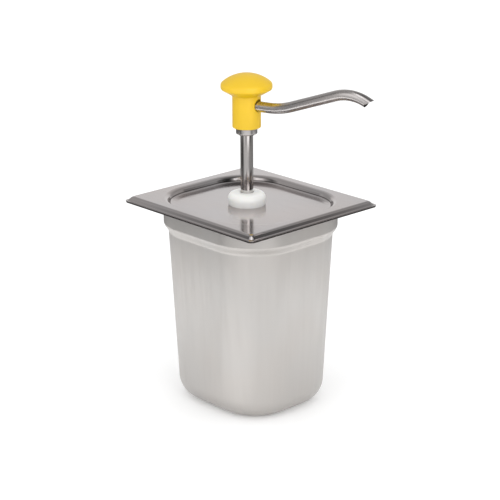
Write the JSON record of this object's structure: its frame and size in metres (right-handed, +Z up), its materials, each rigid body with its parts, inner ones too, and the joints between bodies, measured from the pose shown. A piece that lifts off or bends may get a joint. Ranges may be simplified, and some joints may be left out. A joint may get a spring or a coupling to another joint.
{
  "type": "condiment pump dispenser",
  "caption": "Stainless gastronorm 1/6 pan with a recessed lid and a spring-return condiment pump: yellow push knob, bent steel spout and white lock nut.",
  "frame": {"origin": "middle of the pan's flat base, on the surface it stands on", "axes": "+Z up along the pump's stroke, +X along the 176 mm side of the rim, the side that the spout points to, +Y along the 162 mm side"},
  "size_m": [0.2115, 0.162, 0.317],
  "materials": {
    "pan_steel": "satin drawn stainless steel",
    "lid_steel": "bright pressed stainless steel",
    "polished_steel": "polished stainless steel",
    "spring_steel": "drawn stainless spring wire",
    "white_plastic": "satin white acetal",
    "bearing_plastic": "matt white PTFE",
    "silicone": "matt translucent food silicone",
    "yellow_plastic": "satin moulded yellow plastic"
  },
  "bodies": {
    "pan": {"pan": "pan_steel"},
    "lid": {"lid": "lid_steel", "lock_nut": "white_plastic", "lid_gasket": "silicone", "barrel": "white_plastic", "guide_bush": "bearing_plastic", "rod_seal": "silicone", "stop_washer": "bearing_plastic", "foot_valve_body": "white_plastic", "foot_o_ring": "silicone", "foot_ball_cage": "bearing_plastic", "dip_tube": "white_plastic", "spring": "spring_steel"},
    "carrier": {"thrust_washer": "bearing_plastic"},
    "plunger": {"piston": "white_plastic", "piston_ring_upper": "silicone", "piston_ring_lower": "silicone", "piston_seat": "white_plastic", "ball_stop_pin": "polished_steel", "rod": "polished_steel", "head_block": "polished_steel", "head_o_ring": "silicone", "spout": "polished_steel", "knob": "yellow_plastic"},
    "piston_ball": {"piston_ball": "polished_steel"},
    "foot_ball": {"foot_ball": "polished_steel"}
  },
  "joints": [
    {"name": "lid_lift", "type": "slide", "parent": "pan", "child": "lid", "axis": [0, 0, 1], "range_m": [0, 0.21]},
    {"name": "press", "type": "slide", "parent": "lid", "child": "carrier", "axis": [0, 0, -1], "range_m": [0, 0.048], "stiffness_N_per_m": 250, "springref_m": -0.05, "deforming": ["spring"]},
    {"name": "swivel", "type": "hinge", "parent": "carrier", "child": "plunger", "pos_m": [-0.0045, 0, 0], "axis": [0, 0, 1], "continuous": true},
    {"name": "piston_ball_lift", "type": "slide", "parent": "plunger", "child": "piston_ball", "axis": [0, 0, 1], "range_m": [0, 0.0025]},
    {"name": "foot_ball_lift", "type": "slide", "parent": "lid", "child": "foot_ball", "axis": [0, 0, 1], "range_m": [0, 0.0025]}
  ]
}
